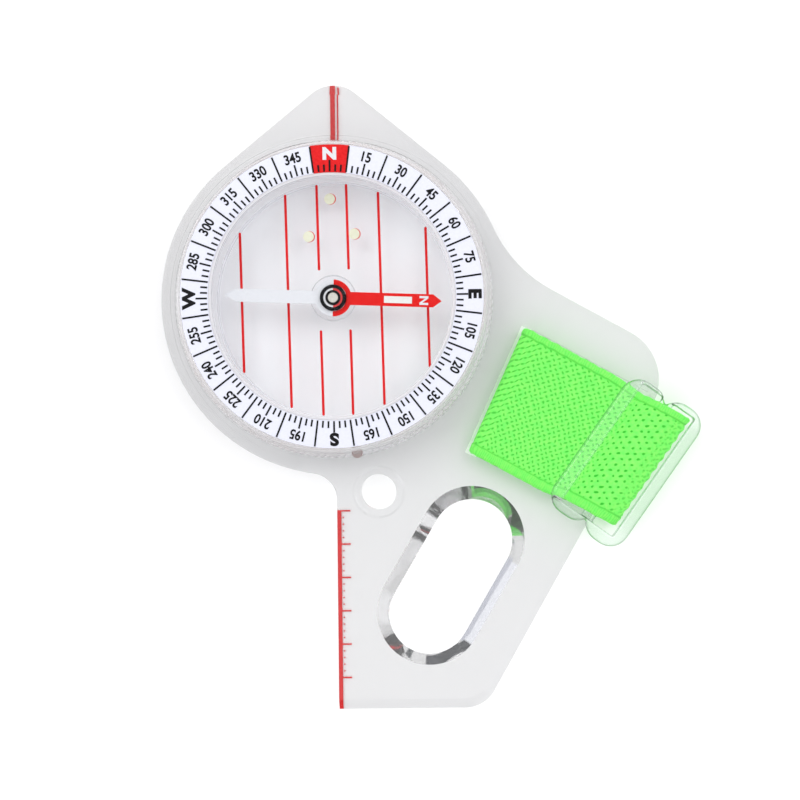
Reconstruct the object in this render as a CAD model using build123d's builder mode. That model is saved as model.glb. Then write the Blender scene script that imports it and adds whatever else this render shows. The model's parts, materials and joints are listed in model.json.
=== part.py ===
"""A thumb compass: a clear baseplate with a turning capsule, a needle and an elastic thumb strap.

Units are millimetres and degrees. The origin is on the capsule's axis at the plate's underside, +Y points to
the plate's tip, +X to the thumb side and +Z up. Angles are anticlockwise from +X, seen from above.
"""

from build123d import *
import os
from math import acos, cos, degrees, radians, sin, sqrt, tan

os.makedirs("parts", exist_ok=True)

# Baseplate
PLATE_T = 3.0
LOBE_R = 26.0  # round lobe around the capsule
TIP_SLOPE = 39.3  # of the two straight edges of the tip
TIP_R = 5.0
BOTTOM_Y = -61.0
NOTCH_R = 4.0  # between the ruler edge, at x = 0, and the lobe
SHOULDER_R = 20.0  # hollow curve from the lobe to the thumb side
THUMB_TOP_NORMAL = 61.0  # direction that the thumb side's upper edge faces
THUMB_TOP_OFFSET = 16.8  # that edge's distance from the origin
THUMB_SIDE_NORMAL = -29.6
THUMB_SIDE_OFFSET = 49.0
THUMB_CORNER_R = 8.0
FOOT_R = 5.0
BEVEL_WIDE = 1.5
BEVEL_DEEP = 1.0
COLLAR_R = (23.75, 24.45)  # raised ring that guards the bezel
COLLAR_T = 0.5
WINDOW_AT = (16.8, -41.3)
WINDOW_ANGLE = 59.6
WINDOW_LONG = 24.7  # at the top face
WINDOW_WIDE = 12.0
WINDOW_TAPER = 32.5  # of its wall, which widens towards the underside
LANYARD_AT = (6.2, -28.6)
LANYARD_R = 2.65
LANYARD_BOSS_R = 3.95
LANYARD_BOSS_T = 0.3
LANYARD_BOSS_TAPER = 50
CHANNEL_LONG = 40.0  # under the plate, from the slot out past the thumb side
CHANNEL_ROOM = 0.15  # above the strap

# Printing on the underside, in shallow pockets
INK_T = 0.08
POCKET_T = 0.1
RULER_STEP = 5.0
RULER_FIRST_Y = -31.45
RULER_MARKS = 6
RULER_LONG = RULER_FIRST_Y - BOTTOM_Y + 0.2
RULER_BAR_WIDE = 0.5
RULER_MARK_X = (0.4, 1.85)
RULER_MARK_WIDE = 0.22
RULER_DOT_X = 0.78
RULER_DOT_R = 0.11
RULER_POCKET_WIDE = 2.1
DIRECTION_FROM = 24.0  # the direction lines start under the collar
DIRECTION_LONG = (7.9, 7.6)
DIRECTION_X = (-0.2, 0.55)
DIRECTION_WIDE = (0.7, 0.2)
DIRECTION_POCKET_WIDE = 1.9

# Capsule
BORE_R = 18.97  # of the plate, around the capsule base
CAPSULE_R = 18.9
CUP_LOW_Z = 0.3
CHAMBER_R = 17.6
RECESS_R = 21.6  # under the plate, for the retaining ring
RECESS_T = 1.6
FRICTION_R = (19.6, 21.6)
FRICTION_GAP = 0.06  # below the bezel
FRICTION_FILM = 0.02  # of glue, under the ring
RETAINER_Z = (0.35, 1.35)
RETAINER_GAP = 0.4  # to the recess's wall
FLOOR_Z = (0.9, 3.2)
LENS_Z = (8.4, 9.6)
LENS_R = 17.95
DIAL_Z = (9.3, 9.6)
DIAL_R = (18.0, 22.0)
DIAL_ANGLE = 0.4
NORTH_HALF = 7.5
MARK_T = 0.05
MARK_WIDE = 0.25
MARK_STEP = 2.5
BEZEL_Z = (3.5, 9.9)
BEZEL_R = 23.5
PLUG_R = 0.8
PLUG_TURN = 188.0  # from the dial's north
PLUG_OUT = 22.95
PLUG_Z = BEZEL_Z[0] + 0.6
PLUG_T = 1.3
PLUG_SLOT = (1.1, 0.28, 0.3)
PRINT_Z = FLOOR_Z[1]
LINES_ANGLE = 1.2
LINE_WIDE = 0.38
LINE_END_R = 17.3
LINE_X = (2.2, 6.9, 13.8)
LINE_HUB_GAP = 4.45  # the two middle lines start this far from the axis
DOT_R = 0.8
BACKING_R = 0.84
DOTS_AT = ((-0.3, 15.0), (-3.6, 9.5), (3.2, 9.7))
BACKING_SHIFT = 0.1

# Needle, which points along NEEDLE_ANGLE at rest
NEEDLE_ANGLE = -2.3
NEEDLE_LONG = 15.9  # from the pivot to each end
NEEDLE_WIDE = 1.9
BLADE_Z = (6.5, 6.75)
HUB_Z = 6.2
HUB_R = 3.4
HUB_RIM = 0.2  # the disc's bevel
HUB_RING_R = (1.95, 2.7)
PIN_R = 0.38
PIN_TOP = 6.75
PIN_BORE_R = 0.43
SEAT_R = 1.5
SEAT_T = 0.6
BUSH_R = 1.92  # of the black cap around the bearing
BUSH_LOW_R = 1.2
BUSH_Z = (4.6, 7.3)
GROOVE_R = (1.1, 1.42)  # in the cap's top, for the white ring
GROOVE_Z = 7.0
CAP_RING_T = 0.15
JEWEL_R = 0.75
JEWEL_Z = (6.82, 7.45)
MAGNET_SIZE = (4.0, 1.5, 0.8)
MAGNET_X = 3.4
PATCH_X = 9.5
PATCH_SIZE = (4.1, 1.0)
LETTER_X = 13.3
LETTER_SIZE = 1.3
LETTER_STROKE = 0.32

# Thumb strap and its slider buckle, in a frame along the strap: u along it, v across it, z up
STRAP_ANGLE = -28.8
STRAP_T = 1.0
STRAP_V = (-10.0, 9.3)
STRAP_ROOM = 1.6  # more than the strap's width, in the plate's slot and channel
SLOT_U = 27.9
SLOT_NORMAL = -24.7
SLOT_WIDE = 1.8
STRAP_TOP_Z = 3.6
STRAP_LOW_Z = 0.7
STRAP_OVER_Z = 5.5
BUCKLE_ANGLE = -35.5
BUCKLE_U = 49.4
BUCKLE_V = -0.9
BUCKLE_Z = (3.6, 6.0)
BUCKLE_SLOT_B = (-10.1, 11.0)


def unit(angle):
    return Vector(cos(radians(angle)), sin(radians(angle)))


def save(part, name):
    part.label = name
    export_step(part, f"parts/{name}.step")


def top_down(z, angle=0.0):
    """A plane at height z, turned about the origin."""
    return Plane((0, 0, z), x_dir=(cos(radians(angle)), sin(radians(angle)), 0), z_dir=(0, 0, 1))


STRAP_U_DIR = unit(STRAP_ANGLE)
STRAP_V_DIR = unit(STRAP_ANGLE + 90)
SLOT_SHEAR = tan(radians(STRAP_ANGLE - SLOT_NORMAL))
BUCKLE_SHEAR = tan(radians(STRAP_ANGLE - BUCKLE_ANGLE))
BUCKLE_AT = STRAP_U_DIR * BUCKLE_U + STRAP_V_DIR * BUCKLE_V
PLUG_AT = tuple(unit(90 + PLUG_TURN) * PLUG_OUT)[:2]


def corner_of(normal_a, offset_a, normal_b, offset_b):
    """The point where two lines cross, each given by its facing direction and its distance from the axis."""
    a, b = unit(normal_a), unit(normal_b)
    det = a.X * b.Y - a.Y * b.X
    return Vector((offset_a * b.Y - offset_b * a.Y) / det, (offset_b * a.X - offset_a * b.X) / det)


def plate_edges():
    """The plate's outline, clockwise from its sharp lower left corner; called inside a BuildLine."""
    tip_normal = 90 + TIP_SLOPE
    notch_y = -sqrt((LOBE_R + NOTCH_R) ** 2 - NOTCH_R**2)
    lobe_start = unit(180 + degrees(acos(NOTCH_R / (LOBE_R + NOTCH_R)))) * LOBE_R
    tip_y = (LOBE_R - TIP_R) / cos(radians(TIP_SLOPE))
    shoulder_turn = degrees(acos((THUMB_TOP_OFFSET + SHOULDER_R) / (LOBE_R + SHOULDER_R)))
    shoulder_angle = THUMB_TOP_NORMAL - shoulder_turn
    shoulder_centre = unit(shoulder_angle) * (LOBE_R + SHOULDER_R)
    top_offset = THUMB_TOP_OFFSET - THUMB_CORNER_R
    corner = corner_of(THUMB_TOP_NORMAL, top_offset, THUMB_SIDE_NORMAL, THUMB_SIDE_OFFSET - THUMB_CORNER_R)
    foot = corner_of(THUMB_SIDE_NORMAL, THUMB_SIDE_OFFSET - FOOT_R, -90, -BOTTOM_Y - FOOT_R)

    ruler = Line((0, BOTTOM_Y), (0, notch_y))
    notch = TangentArc(ruler @ 1, lobe_start, tangent=ruler % 1)
    lobe = TangentArc(notch @ 1, unit(tip_normal) * LOBE_R, tangent=notch % 1)
    tip_left = Line(lobe @ 1, Vector(0, tip_y) + unit(tip_normal) * TIP_R)
    tip_end = Vector(0, tip_y) + unit(180 - tip_normal) * TIP_R
    tip = TangentArc(tip_left @ 1, tip_end, tangent=tip_left % 1)
    tip_right = Line(tip @ 1, unit(180 - tip_normal) * LOBE_R)
    right = TangentArc(tip_right @ 1, unit(shoulder_angle) * LOBE_R, tangent=tip_right % 1)
    shoulder_end = shoulder_centre - unit(THUMB_TOP_NORMAL) * SHOULDER_R
    shoulder = TangentArc(right @ 1, shoulder_end, tangent=right % 1)
    thumb_top = Line(shoulder @ 1, corner + unit(THUMB_TOP_NORMAL) * THUMB_CORNER_R)
    corner_end = corner + unit(THUMB_SIDE_NORMAL) * THUMB_CORNER_R
    thumb_corner = TangentArc(thumb_top @ 1, corner_end, tangent=thumb_top % 1)
    thumb_side = Line(thumb_corner @ 1, foot + unit(THUMB_SIDE_NORMAL) * FOOT_R)
    foot_arc = TangentArc(thumb_side @ 1, foot + unit(-90) * FOOT_R, tangent=thumb_side % 1)
    Line(foot_arc @ 1, (0, BOTTOM_Y))


def slot_plane(z):
    """A plane at height z on the strap slot, x across the slot and y along it."""
    centre = STRAP_U_DIR * SLOT_U + STRAP_V_DIR * (sum(STRAP_V) / 2)
    across = unit(SLOT_NORMAL)
    return Plane((centre.X, centre.Y, z), x_dir=(across.X, across.Y, 0), z_dir=(0, 0, 1))


def make_baseplate():
    with BuildPart() as bevelled:
        with BuildSketch():
            with BuildLine():
                plate_edges()
            make_face()
            # beyond the ruler edge, so that this edge stays square
            with Locations((0, BOTTOM_Y)):
                Rectangle(2 * NOTCH_R + 4, -BOTTOM_Y - LOBE_R + 1, align=(Align.CENTER, Align.MIN))
        extrude(amount=PLATE_T)
        chamfer(bevelled.edges().group_by(Axis.Z)[-1], length=BEVEL_DEEP, length2=BEVEL_WIDE)
    with BuildPart() as baseplate:
        with BuildSketch():
            with BuildLine():
                plate_edges()
            make_face()
        extrude(amount=PLATE_T)
        add(bevelled.part, mode=Mode.INTERSECT)
        with BuildSketch(Plane.XY.offset(PLATE_T)):
            Circle(COLLAR_R[1])
            Circle(COLLAR_R[0], mode=Mode.SUBTRACT)
        extrude(amount=COLLAR_T)
        with BuildSketch(Plane.XY.offset(PLATE_T)):
            with Locations(LANYARD_AT):
                Circle(LANYARD_BOSS_R)
        extrude(amount=LANYARD_BOSS_T, taper=LANYARD_BOSS_TAPER)
        with BuildSketch():
            Circle(BORE_R)
            with Locations(LANYARD_AT):
                Circle(LANYARD_R)
        extrude(amount=PLATE_T + 1, mode=Mode.SUBTRACT)
        with BuildSketch():
            Circle(RECESS_R)
        extrude(amount=RECESS_T, mode=Mode.SUBTRACT)
        spread = 2 * PLATE_T * tan(radians(WINDOW_TAPER))
        with BuildSketch():
            with Locations(Location((*WINDOW_AT, 0), (0, 0, WINDOW_ANGLE))):
                SlotOverall(WINDOW_LONG + spread, WINDOW_WIDE + spread)
        extrude(amount=PLATE_T, taper=WINDOW_TAPER, mode=Mode.SUBTRACT)
        # slot for the strap, and the channel under the plate that the strap lies in
        with BuildSketch(slot_plane(0)):
            Rectangle(SLOT_WIDE, STRAP_V[1] - STRAP_V[0] + STRAP_ROOM)
        extrude(amount=PLATE_T, mode=Mode.SUBTRACT)
        with BuildSketch(top_down(0, STRAP_ANGLE)):
            with Locations((SLOT_U, sum(STRAP_V) / 2)):
                strap_room = STRAP_V[1] - STRAP_V[0] + STRAP_ROOM
                Rectangle(CHANNEL_LONG, strap_room, align=(Align.MIN, Align.CENTER))
        extrude(amount=STRAP_LOW_Z + STRAP_T / 2 + CHANNEL_ROOM, mode=Mode.SUBTRACT)
        # pockets for the printing
        with BuildSketch():
            with Locations((0, DIRECTION_FROM - POCKET_T)):
                Rectangle(DIRECTION_POCKET_WIDE, LOBE_R, align=(Align.CENTER, Align.MIN))
            with Locations((0, BOTTOM_Y)):
                Rectangle(RULER_POCKET_WIDE, RULER_LONG, align=(Align.MIN, Align.MIN))
        extrude(amount=POCKET_T, mode=Mode.SUBTRACT)
    save(baseplate.part, "baseplate")


def make_direction_line():
    with BuildPart() as direction_line:
        with BuildSketch(Plane.XY.offset(POCKET_T - INK_T)):
            for x, wide, long in zip(DIRECTION_X, DIRECTION_WIDE, DIRECTION_LONG):
                with Locations((x, DIRECTION_FROM)):
                    Rectangle(wide, long, align=(Align.CENTER, Align.MIN))
        extrude(amount=INK_T)
    save(direction_line.part, "direction_line")


def make_edge_scale():
    with BuildPart() as edge_scale:
        with BuildSketch(Plane.XY.offset(POCKET_T - INK_T)):
            with Locations((0, BOTTOM_Y)):
                Rectangle(RULER_BAR_WIDE, RULER_LONG - 0.1, align=(Align.MIN, Align.MIN))
            with Locations([(RULER_MARK_X[0], RULER_FIRST_Y - i * RULER_STEP) for i in range(RULER_MARKS)]):
                mark_long = RULER_MARK_X[1] - RULER_MARK_X[0]
                Rectangle(mark_long, RULER_MARK_WIDE, align=(Align.MIN, Align.CENTER))
        extrude(amount=INK_T)
    save(edge_scale.part, "edge_scale")


def make_edge_scale_dots():
    with BuildPart() as edge_scale_dots:
        with BuildSketch(Plane.XY.offset(POCKET_T - INK_T)):
            spots = [
                (RULER_DOT_X, RULER_FIRST_Y - (i + 0.2 * k) * RULER_STEP)
                for i in range(RULER_MARKS - 1)
                for k in range(1, 5)
            ]
            with Locations(spots):
                Circle(RULER_DOT_R)
        extrude(amount=INK_T)
    save(edge_scale_dots.part, "edge_scale_dots")


def make_friction_ring():
    with BuildPart() as friction_ring:
        with BuildSketch(Plane.XY.offset(PLATE_T + FRICTION_FILM)):
            Circle(FRICTION_R[1])
            Circle(FRICTION_R[0], mode=Mode.SUBTRACT)
        extrude(amount=BEZEL_Z[0] - PLATE_T - FRICTION_FILM - FRICTION_GAP)
    save(friction_ring.part, "friction_ring")


def make_retaining_ring():
    with BuildPart() as retaining_ring:
        with BuildSketch(Plane.XY.offset(RETAINER_Z[0])):
            Circle(RECESS_R - RETAINER_GAP)
            Circle(CAPSULE_R, mode=Mode.SUBTRACT)
        extrude(amount=RETAINER_Z[1] - RETAINER_Z[0])
        chamfer(retaining_ring.edges().group_by(Axis.Z)[0], length=0.2)
    save(retaining_ring.part, "retaining_ring")


def make_capsule_base():
    """A clear cup that holds the liquid, with a step at its top for the lens."""
    with BuildPart() as capsule_base:
        with BuildSketch(Plane.XZ):
            with BuildLine():
                Polyline(
                    (0, FLOOR_Z[0]),
                    (CHAMBER_R, FLOOR_Z[0]),
                    (CHAMBER_R, CUP_LOW_Z),
                    (CAPSULE_R, CUP_LOW_Z),
                    (CAPSULE_R, DIAL_Z[0]),
                    (LENS_R, DIAL_Z[0]),
                    (LENS_R, LENS_Z[0]),
                    (CHAMBER_R, LENS_Z[0]),
                    (CHAMBER_R, FLOOR_Z[1]),
                    (0, FLOOR_Z[1]),
                    close=True,
                )
            make_face()
        revolve(axis=Axis.Z)
    save(capsule_base.part, "capsule_base")


def make_capsule_lens():
    with BuildPart() as capsule_lens:
        with BuildSketch(Plane.XY.offset(LENS_Z[0])):
            Circle(LENS_R)
        extrude(amount=LENS_Z[1] - LENS_Z[0])
        chamfer(capsule_lens.edges().group_by(Axis.Z)[-1], length=0.12)
    save(capsule_lens.part, "capsule_lens")


def make_capsule_bezel():
    """The grip ring: a low rim at the plate and a wall that leans in to the dial."""
    with BuildPart() as capsule_bezel:
        with BuildSketch(Plane.XZ):
            with BuildLine():
                Polyline(
                    (CAPSULE_R, BEZEL_Z[0]),
                    (BEZEL_R, BEZEL_Z[0]),
                    (BEZEL_R, BEZEL_Z[0] + 1.3),
                    (BEZEL_R - 0.45, BEZEL_Z[0] + 1.9),
                    (DIAL_R[1] + 0.45, BEZEL_Z[1] - 0.25),
                    (DIAL_R[1] + 0.25, BEZEL_Z[1]),
                    (DIAL_R[1] + 0.05, BEZEL_Z[1]),
                    (DIAL_R[1], DIAL_Z[0]),
                    (CAPSULE_R, DIAL_Z[0]),
                    close=True,
                )
            make_face()
        revolve(axis=Axis.Z)
        with BuildSketch(Plane.XY.offset(PLUG_Z)):
            with Locations(PLUG_AT):
                Circle(PLUG_R)
        extrude(amount=10, mode=Mode.SUBTRACT)
    save(capsule_bezel.part, "capsule_bezel")


def make_filling_plug():
    """The sealing screw of the filling hole, with its driver slot."""
    with BuildPart() as filling_plug:
        with BuildSketch(Plane.XY.offset(PLUG_Z)):
            with Locations(PLUG_AT):
                Circle(PLUG_R)
        extrude(amount=PLUG_T)
        with BuildSketch(Plane.XY.offset(PLUG_Z + PLUG_T - PLUG_SLOT[2])):
            with Locations(PLUG_AT):
                Rectangle(PLUG_SLOT[0], PLUG_SLOT[1], rotation=8)
        extrude(amount=1, mode=Mode.SUBTRACT)
    save(filling_plug.part, "filling_plug")


def make_dial_ring():
    left, right = unit(90 + NORTH_HALF) * 2 * DIAL_R[1], unit(90 - NORTH_HALF) * 2 * DIAL_R[1]
    with BuildPart() as dial_ring:
        with BuildSketch(top_down(DIAL_Z[0], DIAL_ANGLE)):
            Circle(DIAL_R[1])
            Circle(DIAL_R[0], mode=Mode.SUBTRACT)
            with BuildLine():
                Polyline((0, 0), left, right, close=True)
            make_face(mode=Mode.SUBTRACT)
        extrude(amount=DIAL_Z[1] - DIAL_Z[0])
    save(dial_ring.part, "dial_ring")


def make_north_sector():
    left, right = unit(90 + NORTH_HALF) * 2 * DIAL_R[1], unit(90 - NORTH_HALF) * 2 * DIAL_R[1]
    with BuildPart() as north_sector:
        with BuildSketch(top_down(DIAL_Z[0], DIAL_ANGLE)):
            Circle(DIAL_R[1])
            Circle(DIAL_R[0], mode=Mode.SUBTRACT)
            with BuildLine():
                Polyline((0, 0), left, right, close=True)
            make_face(mode=Mode.INTERSECT)
        extrude(amount=DIAL_Z[1] - DIAL_Z[0])
    save(north_sector.part, "north_sector")


def make_dial_marks(name, length, angles):
    with BuildPart() as marks:
        with BuildSketch(top_down(DIAL_Z[1], DIAL_ANGLE)):
            for angle in angles:
                with Locations(Location(unit(angle) * (DIAL_R[0] + 0.1), (0, 0, angle))):
                    Rectangle(length, MARK_WIDE, align=(Align.MIN, Align.CENTER))
        extrude(amount=MARK_T)
    save(marks.part, name)


def make_orienting_lines():
    """Six parallel lines on the capsule's floor, of which the two in the middle stop short of the pivot."""
    with BuildPart() as orienting_lines:
        with BuildSketch(top_down(PRINT_Z, LINES_ANGLE)):
            for x in LINE_X:
                end = sqrt(LINE_END_R**2 - x**2)
                for side in (-1, 1):
                    if x == min(LINE_X):
                        middle = (end + LINE_HUB_GAP) / 2
                        with Locations((side * x, middle), (side * x, -middle)):
                            SlotOverall(end - LINE_HUB_GAP, LINE_WIDE, rotation=90)
                    else:
                        with Locations((side * x, 0)):
                            SlotOverall(2 * end, LINE_WIDE, rotation=90)
        extrude(amount=INK_T)
    save(orienting_lines.part, "orienting_lines")


def make_luminous_dots():
    with BuildPart() as dot_backings:
        with BuildSketch(top_down(PRINT_Z, LINES_ANGLE)):
            with Locations([(x + BACKING_SHIFT, y) for x, y in DOTS_AT]):
                Circle(BACKING_R)
        extrude(amount=INK_T)
    save(dot_backings.part, "dot_backings")
    with BuildPart() as luminous_dots:
        with BuildSketch(top_down(PRINT_Z + INK_T, LINES_ANGLE)):
            with Locations(DOTS_AT):
                Circle(DOT_R)
        extrude(amount=INK_T)
    save(luminous_dots.part, "luminous_dots")


def make_pivot():
    with BuildPart() as pivot_seat:
        with BuildSketch(Plane.XY.offset(PRINT_Z)):
            Circle(SEAT_R)
            Circle(PIN_R, mode=Mode.SUBTRACT)
        extrude(amount=SEAT_T)
        chamfer(pivot_seat.edges().group_by(Axis.Z)[-1].sort_by(SortBy.RADIUS)[-1], length=0.25)
    save(pivot_seat.part, "pivot_seat")
    with BuildPart() as pivot_pin:
        with BuildSketch(Plane.XZ):
            with BuildLine():
                Polyline(
                    (0, PRINT_Z),
                    (PIN_R, PRINT_Z),
                    (PIN_R, PIN_TOP - 0.45),
                    (0.04, PIN_TOP),
                    (0, PIN_TOP),
                    close=True,
                )
            make_face()
        revolve(axis=Axis.Z)
    save(pivot_pin.part, "pivot_pin")


def make_blade(name, end, tip_long, turn):
    """One half of the needle, with its half of the ring around the hub."""
    with BuildPart() as blade:
        with BuildSketch(top_down(BLADE_Z[0], NEEDLE_ANGLE + turn)):
            half = NEEDLE_WIDE / 2
            Circle(HUB_RING_R[1])
            with Locations((-HUB_R, 0)):
                Rectangle(2 * HUB_R, 3 * HUB_R, mode=Mode.SUBTRACT)
            with BuildLine():
                neck = end - tip_long
                Polyline((0, -half), (neck, -half), (end, 0), (neck, half), (0, half), close=True)
            make_face()
            Circle(HUB_RING_R[0], mode=Mode.SUBTRACT)
        extrude(amount=BLADE_Z[1] - BLADE_Z[0])
    save(blade.part, name)


def make_hub():
    with BuildPart() as hub_disc:
        with BuildSketch(Plane.XY.offset(HUB_Z)):
            Circle(HUB_R)
            Circle(BUSH_LOW_R, mode=Mode.SUBTRACT)
        extrude(amount=BLADE_Z[0] - HUB_Z)
        rim = hub_disc.edges().group_by(Axis.Z)[-1].sort_by(SortBy.RADIUS)[-1]
        chamfer(rim, length=HUB_RIM)
    save(hub_disc.part, "needle_hub_disc")
    with BuildPart() as bushing:
        with BuildSketch(Plane.XZ):
            with BuildLine():
                Polyline(
                    (PIN_BORE_R, BUSH_Z[0]),
                    (BUSH_LOW_R, BUSH_Z[0]),
                    (BUSH_LOW_R, BLADE_Z[0]),
                    (BUSH_R, BLADE_Z[0]),
                    (BUSH_R, BUSH_Z[1]),
                    (GROOVE_R[1], BUSH_Z[1]),
                    (GROOVE_R[1], GROOVE_Z),
                    (GROOVE_R[0], GROOVE_Z),
                    (GROOVE_R[0], BUSH_Z[1] + 0.1),
                    (JEWEL_R, BUSH_Z[1] + 0.1),
                    (JEWEL_R, JEWEL_Z[0]),
                    (PIN_BORE_R, JEWEL_Z[0]),
                    close=True,
                )
            make_face()
        revolve(axis=Axis.Z)
    save(bushing.part, "needle_bushing")
    with BuildPart() as cap_ring:
        with BuildSketch(Plane.XY.offset(GROOVE_Z)):
            Circle(GROOVE_R[1])
            Circle(GROOVE_R[0], mode=Mode.SUBTRACT)
        extrude(amount=CAP_RING_T)
    save(cap_ring.part, "needle_cap_ring")
    with BuildPart() as jewel:
        with BuildSketch(Plane.XY.offset(JEWEL_Z[0])):
            Circle(JEWEL_R)
        extrude(amount=JEWEL_Z[1] - JEWEL_Z[0])
        fillet(jewel.edges().group_by(Axis.Z)[-1], radius=0.15)
    save(jewel.part, "needle_jewel")


def make_magnets():
    """Two bar magnets under the hub disc, one on each side of the bushing."""
    with BuildPart() as magnets:
        with BuildSketch(top_down(HUB_Z - MAGNET_SIZE[2], NEEDLE_ANGLE)):
            with Locations((MAGNET_X, 0), (-MAGNET_X, 0)):
                Rectangle(MAGNET_SIZE[0], MAGNET_SIZE[1])
        extrude(amount=MAGNET_SIZE[2])
    save(magnets.part, "needle_magnets")


def make_needle_marks():
    with BuildPart() as patch:
        with BuildSketch(top_down(BLADE_Z[1], NEEDLE_ANGLE)):
            with Locations((PATCH_X, 0)):
                Rectangle(*PATCH_SIZE)
        extrude(amount=INK_T)
    save(patch.part, "needle_luminous_patch")
    half = LETTER_SIZE / 2
    inner = half - LETTER_STROKE
    with BuildPart() as letter:
        # the letter N reads with its top towards the needle's tip
        with BuildSketch(top_down(BLADE_Z[1], NEEDLE_ANGLE)):
            with Locations((LETTER_X, half - LETTER_STROKE / 2), (LETTER_X, LETTER_STROKE / 2 - half)):
                Rectangle(LETTER_SIZE, LETTER_STROKE)
            top, low = LETTER_X + half, LETTER_X - half
            with BuildLine():
                Polyline((top, half), (top, inner), (low, -half), (low, -inner), close=True)
            make_face()
        extrude(amount=INK_T)
    save(letter.part, "needle_north_mark")


def strap_corners(v):
    """The middle line of the strap's loop where it is cut at v: each corner's u, z and radius."""
    slot_u = SLOT_U + SLOT_SHEAR * v
    over_u = BUCKLE_U + BUCKLE_SHEAR * (v - BUCKLE_V)
    return [
        (slot_u, STRAP_LOW_Z, 0.9),
        (slot_u, STRAP_TOP_Z, 0.9),
        (over_u - 3.9, STRAP_TOP_Z, 2.0),
        (over_u - 1.2, STRAP_OVER_Z, 1.5),
        (over_u + 1.5, STRAP_OVER_Z, 1.5),
        (over_u + 3.8, STRAP_OVER_Z - 0.8, 1.2),
        (over_u + 3.8, STRAP_LOW_Z, 1.2),
    ]


def make_thumb_strap():
    """The elastic loop: up through the slot, over the plate, through the buckle, round the side and back."""
    with BuildPart() as thumb_strap:
        for grow, mode in ((STRAP_T / 2, Mode.ADD), (-STRAP_T / 2, Mode.SUBTRACT)):
            for v in STRAP_V:
                middle = STRAP_V_DIR * v
                cut = Plane(
                    (middle.X, middle.Y, 0),
                    x_dir=(STRAP_U_DIR.X, STRAP_U_DIR.Y, 0),
                    z_dir=(-STRAP_V_DIR.X, -STRAP_V_DIR.Y, 0),
                )
                corners = strap_corners(v)
                radii = [r for _, _, r in corners]
                with BuildSketch(cut):
                    with BuildLine():
                        FilletPolyline(*[(u, z) for u, z, _ in corners], radius=radii, close=True)
                    make_face()
                    offset(amount=grow)
            loft(ruled=True, mode=mode)
    save(thumb_strap.part, "thumb_strap")


def buckle_plane(z):
    across = unit(BUCKLE_ANGLE)
    return Plane((BUCKLE_AT.X, BUCKLE_AT.Y, z), x_dir=(across.X, across.Y, 0), z_dir=(0, 0, 1))


def make_strap_buckle():
    """A clear slider with two lobes, three bars and two slots; x is across the bars and y along them."""
    slot_long = BUCKLE_SLOT_B[1] - BUCKLE_SLOT_B[0]
    with BuildPart() as strap_buckle:
        with BuildSketch(buckle_plane(BUCKLE_Z[0])) as outline:
            with Locations((-3.25, 0)):
                RectangleRounded(7.1, 23.2, 2.9)
            with Locations((3.05, 0)):
                RectangleRounded(6.7, 24.0, 2.9)
        extrude(amount=BUCKLE_Z[1] - BUCKLE_Z[0])
        fillet(strap_buckle.edges().group_by(Axis.Z)[-1], radius=0.5)
        with BuildSketch(buckle_plane(BUCKLE_Z[0])):
            with Locations((-4.6, BUCKLE_SLOT_B[0]), (1.0, BUCKLE_SLOT_B[0])):
                Rectangle(3.6, slot_long, align=(Align.MIN, Align.MIN))
        extrude(amount=BUCKLE_Z[1] - BUCKLE_Z[0], mode=Mode.SUBTRACT)
        # the strap passes under the first bar
        with BuildSketch(buckle_plane(BUCKLE_Z[0])):
            with Locations((-8, BUCKLE_SLOT_B[0])):
                Rectangle(3.6, slot_long, align=(Align.MIN, Align.MIN))
        extrude(amount=0.75, mode=Mode.SUBTRACT)
        # and over the second
        with BuildSketch(buckle_plane(BUCKLE_Z[1] - 1.25)):
            with Locations((-1.1, BUCKLE_SLOT_B[0])):
                Rectangle(2.2, slot_long, align=(Align.MIN, Align.MIN))
        extrude(amount=2, mode=Mode.SUBTRACT)
    save(strap_buckle.part, "strap_buckle")


make_baseplate()
make_direction_line()
make_edge_scale()
make_edge_scale_dots()
make_friction_ring()
make_retaining_ring()
make_capsule_base()
make_capsule_lens()
make_capsule_bezel()
make_filling_plug()
make_dial_ring()
make_north_sector()
make_dial_marks("dial_marks_long", DIAL_R[1] - DIAL_R[0] - 0.2, [7.5 + 15 * i for i in range(24)])
make_dial_marks("dial_marks_medium", 1.65, [15 * i for i in range(24)])
make_dial_marks("dial_marks_short", 1.0, [MARK_STEP * i for i in range(144) if i % 3])
make_orienting_lines()
make_luminous_dots()
make_pivot()
make_blade("needle_north_blade", NEEDLE_LONG, 1.25, 0)
make_blade("needle_south_blade", NEEDLE_LONG, 1.7, 180)
make_hub()
make_magnets()
make_needle_marks()
make_thumb_strap()
make_strap_buckle()
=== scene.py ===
"""The looks of the thumb compass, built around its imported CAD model. Units are metres, and MM is a millimetre."""

import json
from math import atan2, cos, pi, radians, sin, tan

import bmesh
import bpy
from mathutils import Matrix, Vector, noise


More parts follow.
